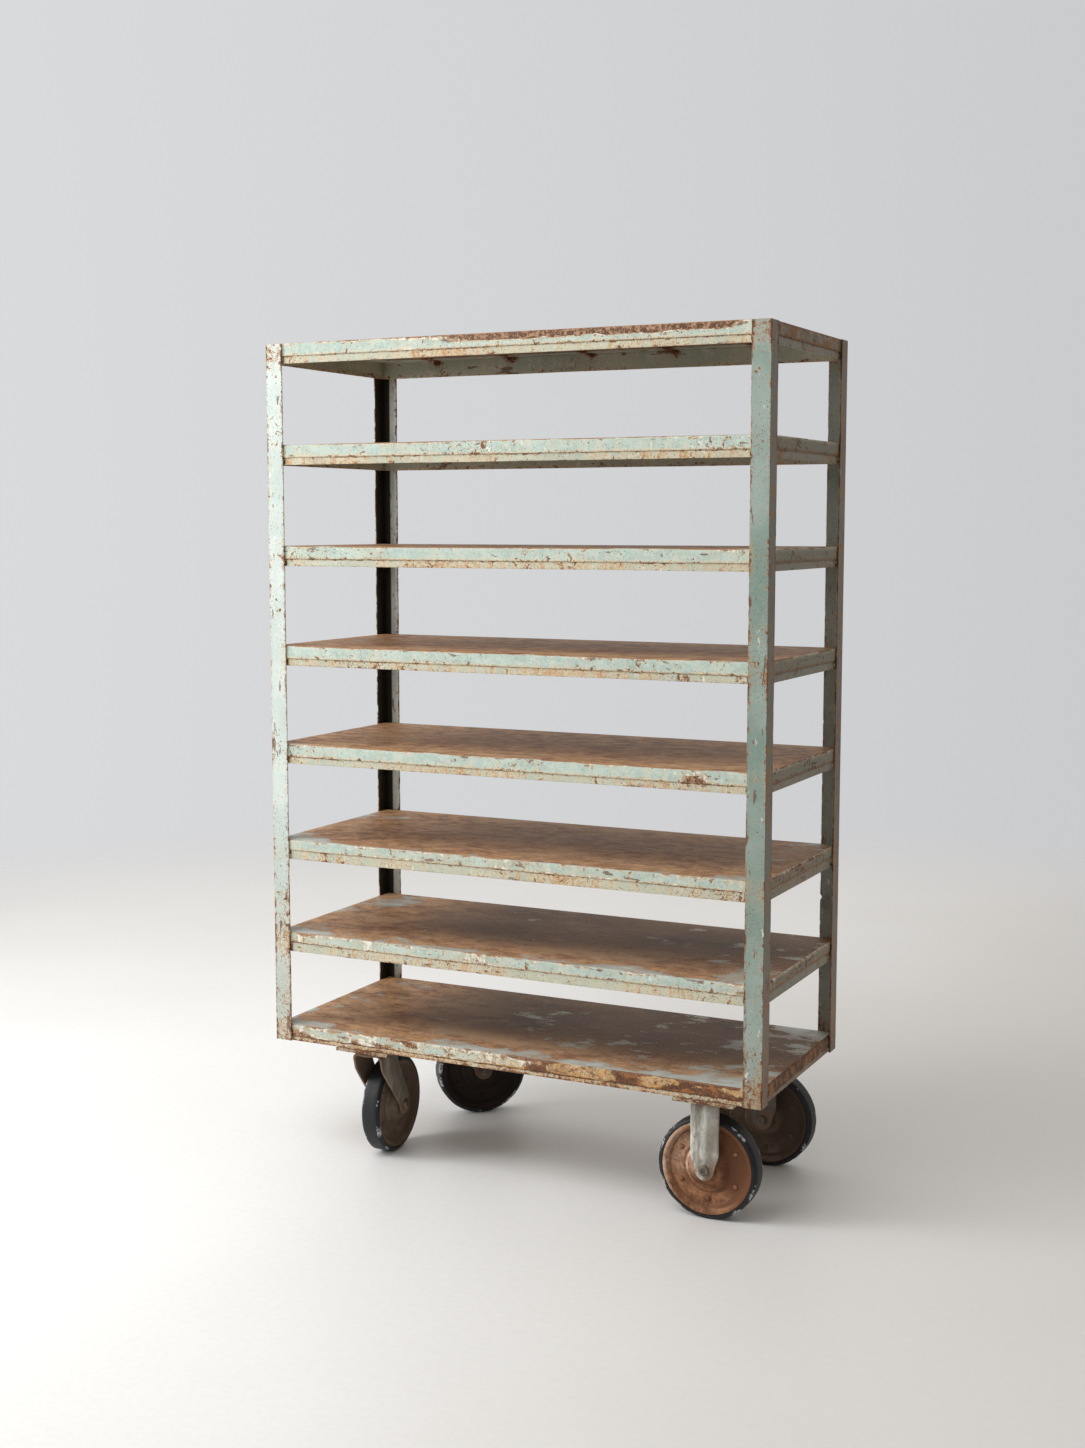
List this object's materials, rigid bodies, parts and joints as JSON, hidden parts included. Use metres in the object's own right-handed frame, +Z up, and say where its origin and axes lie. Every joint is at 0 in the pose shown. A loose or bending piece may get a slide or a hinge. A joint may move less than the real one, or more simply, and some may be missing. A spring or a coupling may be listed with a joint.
{
  "type": "steel shelf truck",
  "caption": "Tall industrial steel shelf cart with angle-iron uprights, flanged sheet decks and disc-wheeled casters, two of them swivelling.",
  "frame": {"origin": "on the floor under the centre of the whole truck's bounding box as it stands, which is 30.8 mm behind the rack's own centre line because the rear left caster trails out behind the rack", "axes": "+X along the rack towards the rigid casters, +Y to the rear, +Z up"},
  "size_m": [1.0876, 0.5185, 1.7015],
  "materials": {
    "mint_paint": "chipped pale mint enamel over rusted steel",
    "worn_deck": "brown rusted sheet steel with worn mint paint at its edges",
    "rusty_plate": "orange-brown rusted steel plate",
    "caster_paint": "dirty grey paint on pressed steel",
    "bare_steel": "dark greasy steel",
    "wheel_steel": "orange-brown rusted pressed steel",
    "tyre_rubber": "hard black rubber with scuffed grey edges"
  },
  "bodies": {
    "rack": {"upright_front_left": "mint_paint", "upright_front_right": "mint_paint", "upright_rear_left": "mint_paint", "upright_rear_right": "mint_paint", "deck_1": "worn_deck", "shelf_frame_1": "mint_paint", "deck_2": "worn_deck", "shelf_frame_2": "mint_paint", "deck_3": "worn_deck", "shelf_frame_3": "mint_paint", "deck_4": "worn_deck", "shelf_frame_4": "mint_paint", "deck_5": "worn_deck", "shelf_frame_5": "mint_paint", "deck_6": "worn_deck", "shelf_frame_6": "mint_paint", "deck_7": "worn_deck", "shelf_frame_7": "mint_paint", "deck_8": "worn_deck", "shelf_frame_8": "mint_paint", "cross_bar_left_1": "mint_paint", "cross_bar_left_2": "mint_paint", "cross_bar_right_1": "mint_paint", "cross_bar_right_2": "mint_paint", "front_left_caster_plate": "rusty_plate", "front_left_swivel_race": "bare_steel", "front_left_kingpin": "bare_steel", "rear_left_caster_plate": "rusty_plate", "rear_left_swivel_race": "bare_steel", "rear_left_kingpin": "bare_steel", "front_right_caster_plate": "rusty_plate", "front_right_fork": "caster_paint", "front_right_axle_bolt": "bare_steel", "front_right_axle_nut": "bare_steel", "rear_right_caster_plate": "rusty_plate", "rear_right_fork": "caster_paint", "rear_right_axle_bolt": "bare_steel", "rear_right_axle_nut": "bare_steel"},
    "front_left_swivel": {"front_left_fork": "caster_paint", "front_left_axle_bolt": "bare_steel", "front_left_axle_nut": "bare_steel"},
    "front_left_wheel": {"front_left_wheel_sleeve": "bare_steel", "front_left_wheel_outer_disc": "wheel_steel", "front_left_wheel_inner_disc": "wheel_steel", "front_left_tyre": "tyre_rubber"},
    "rear_left_swivel": {"rear_left_fork": "caster_paint", "rear_left_axle_bolt": "bare_steel", "rear_left_axle_nut": "bare_steel"},
    "rear_left_wheel": {"rear_left_wheel_sleeve": "bare_steel", "rear_left_wheel_outer_disc": "wheel_steel", "rear_left_wheel_inner_disc": "wheel_steel", "rear_left_tyre": "tyre_rubber"},
    "front_right_wheel": {"front_right_wheel_sleeve": "bare_steel", "front_right_wheel_outer_disc": "wheel_steel", "front_right_wheel_inner_disc": "wheel_steel", "front_right_tyre": "tyre_rubber"},
    "rear_right_wheel": {"rear_right_wheel_sleeve": "bare_steel", "rear_right_wheel_outer_disc": "wheel_steel", "rear_right_wheel_inner_disc": "wheel_steel", "rear_right_tyre": "tyre_rubber"}
  },
  "joints": [
    {"name": "front_left_swivel_turn", "type": "hinge", "parent": "rack", "child": "front_left_swivel", "pos_m": [-0.3333, -0.19631, 0.23], "axis": [0, 0, 1], "continuous": true},
    {"name": "front_left_wheel_spin", "type": "hinge", "parent": "front_left_swivel", "child": "front_left_wheel", "pos_m": [-0.33715, -0.13343, 0.1018], "axis": [-0.9981, -0.061, 0], "continuous": true},
    {"name": "rear_left_swivel_turn", "type": "hinge", "parent": "rack", "child": "rear_left_swivel", "pos_m": [-0.3333, 0.13469, 0.23], "axis": [0, 0, 1], "continuous": true},
    {"name": "rear_left_wheel_spin", "type": "hinge", "parent": "rear_left_swivel", "child": "rear_left_wheel", "pos_m": [-0.28723, 0.17765, 0.1018], "axis": [-0.682, 0.7314, 0], "continuous": true},
    {"name": "front_right_wheel_spin", "type": "hinge", "parent": "rack", "child": "front_right_wheel", "pos_m": [0.4188, -0.19631, 0.1018], "axis": [0, 1, 0], "continuous": true},
    {"name": "rear_right_wheel_spin", "type": "hinge", "parent": "rack", "child": "rear_right_wheel", "pos_m": [0.4188, 0.13469, 0.1018], "axis": [0, 1, 0], "continuous": true}
  ]
}
